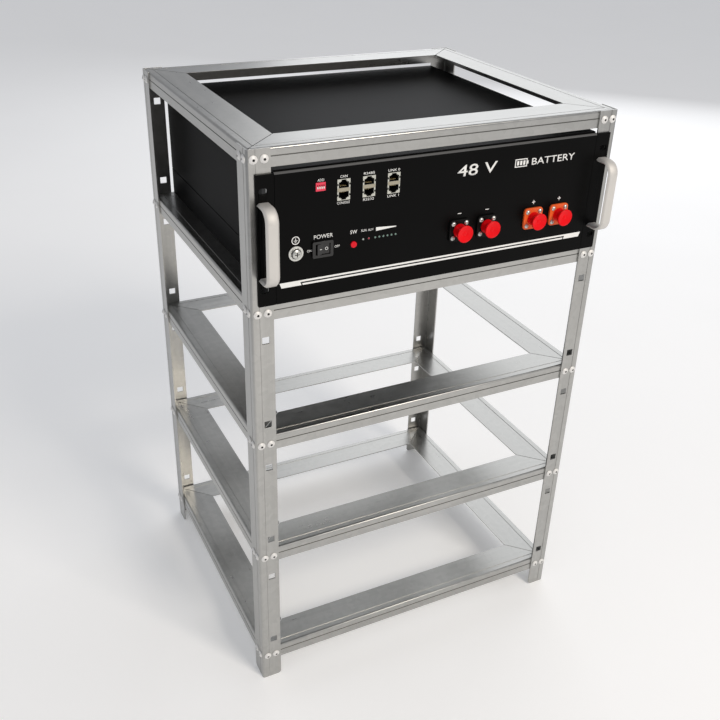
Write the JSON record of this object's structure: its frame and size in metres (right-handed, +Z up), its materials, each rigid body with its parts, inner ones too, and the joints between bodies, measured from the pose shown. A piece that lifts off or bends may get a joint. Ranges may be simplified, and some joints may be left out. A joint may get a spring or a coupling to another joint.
{
  "type": "server rack battery",
  "caption": "Black rack-mount battery module with front terminals, ports and pull handles, in the top bay of an open galvanised rack with empty bays below.",
  "frame": {"origin": "on the floor, under the middle of the box round the whole object, handles included", "axes": "+Z up, -Y towards the front panel, +X to the right seen from the front"},
  "size_m": [0.5052, 0.4572, 0.79],
  "materials": {
    "galvanised_steel": "galvanised sheet with a fine spangle, satin",
    "zinc_screws": "bright zinc plate",
    "black_case": "semi-matte black powder coat with faint scratches",
    "black_panel": "fine black powder coat",
    "silver_handle": "satin anodised",
    "bright_hardware": "bright nickel plate",
    "dark_screws": "black zinc plate",
    "black_plastic": "moulded black plastic",
    "orange_plastic": "moulded orange plastic",
    "contact_metal": "plated contact",
    "red_cap": "soft bright red cap, slightly glossy",
    "port_shield": "tinned shield",
    "red_switch": "moulded red plastic",
    "red_button": "glossy red plastic",
    "white_lever": "white plastic",
    "rocker_black": "glossy black plastic",
    "lamp_clear": "translucent lamp window",
    "cell_case": "aluminium cell case in blue film",
    "inner_frame": "bare sheet",
    "copper": "bare copper",
    "board_green": "circuit board with parts"
  },
  "bodies": {
    "rack": {"post_front_left": "galvanised_steel", "post_front_right": "galvanised_steel", "post_rear_left": "galvanised_steel", "post_rear_right": "galvanised_steel", "rail_1_front": "galvanised_steel", "rail_1_rear": "galvanised_steel", "rail_1_left": "galvanised_steel", "rail_1_right": "galvanised_steel", "rail_2_front": "galvanised_steel", "rail_2_rear": "galvanised_steel", "rail_2_left": "galvanised_steel", "rail_2_right": "galvanised_steel", "rail_3_front": "galvanised_steel", "rail_3_rear": "galvanised_steel", "rail_3_left": "galvanised_steel", "rail_3_right": "galvanised_steel", "rail_4_front": "galvanised_steel", "rail_4_rear": "galvanised_steel", "rail_4_left": "galvanised_steel", "rail_4_right": "galvanised_steel", "rail_5_front": "galvanised_steel", "rail_5_rear": "galvanised_steel", "rail_5_left": "galvanised_steel", "rail_5_right": "galvanised_steel", "frame_screws": "zinc_screws"},
    "module": {"lower_case": "black_case", "upper_cover": "black_case", "front_panel": "black_panel", "ear_left": "black_panel", "ear_right": "black_panel", "handle_left": "silver_handle", "handle_right": "silver_handle", "handle_screws": "bright_hardware", "terminal_minus_1": "black_plastic", "terminal_minus_2": "black_plastic", "terminal_plus_1": "orange_plastic", "terminal_plus_2": "orange_plastic", "terminal_contacts": "contact_metal", "terminal_screws": "bright_hardware", "rj45_ports": "port_shield", "dip_body": "red_switch", "power_switch_body": "black_plastic", "led_pipes": "lamp_clear", "earth_terminal": "bright_hardware", "cells": "cell_case", "cell_frame": "inner_frame", "busbars": "copper", "control_board": "board_green", "power_bars": "copper", "cover_screws": "dark_screws"},
    "dust_cap_1": {"dust_cap_1": "red_cap"},
    "dust_cap_2": {"dust_cap_2": "red_cap"},
    "dust_cap_3": {"dust_cap_3": "red_cap"},
    "dust_cap_4": {"dust_cap_4": "red_cap"},
    "power_rocker": {"power_rocker": "rocker_black"},
    "sw_button": {"sw_button": "red_button"},
    "dip_lever_1": {"dip_lever_1": "white_lever"},
    "dip_lever_2": {"dip_lever_2": "white_lever"},
    "dip_lever_3": {"dip_lever_3": "white_lever"},
    "dip_lever_4": {"dip_lever_4": "white_lever"}
  },
  "joints": [
    {"name": "module_slide", "type": "slide", "parent": "rack", "child": "module", "axis": [0, -1, 0], "range_m": [0, 0.4]},
    {"name": "dust_cap_1_pull", "type": "slide", "parent": "module", "child": "dust_cap_1", "axis": [0, -1, 0], "range_m": [0, 0.04]},
    {"name": "dust_cap_2_pull", "type": "slide", "parent": "module", "child": "dust_cap_2", "axis": [0, -1, 0], "range_m": [0, 0.04]},
    {"name": "dust_cap_3_pull", "type": "slide", "parent": "module", "child": "dust_cap_3", "axis": [0, -1, 0], "range_m": [0, 0.04]},
    {"name": "dust_cap_4_pull", "type": "slide", "parent": "module", "child": "dust_cap_4", "axis": [0, -1, 0], "range_m": [0, 0.04]},
    {"name": "power_rocker_tip", "type": "hinge", "parent": "module", "child": "power_rocker", "pos_m": [-0.162, -0.19877, 0.666], "axis": [0, 0, 1], "range_deg": [-20, 0]},
    {"name": "sw_button_press", "type": "slide", "parent": "module", "child": "sw_button", "axis": [0, 1, 0], "range_m": [0, 0.0012], "stiffness_N_per_m": 600},
    {"name": "dip_lever_1_slide", "type": "slide", "parent": "module", "child": "dip_lever_1", "axis": [0, 0, 1], "range_m": [0, 0.0021]},
    {"name": "dip_lever_2_slide", "type": "slide", "parent": "module", "child": "dip_lever_2", "axis": [0, 0, 1], "range_m": [0, 0.0021]},
    {"name": "dip_lever_3_slide", "type": "slide", "parent": "module", "child": "dip_lever_3", "axis": [0, 0, 1], "range_m": [0, 0.0021]},
    {"name": "dip_lever_4_slide", "type": "slide", "parent": "module", "child": "dip_lever_4", "axis": [0, 0, 1], "range_m": [0, 0.0021]}
  ]
}
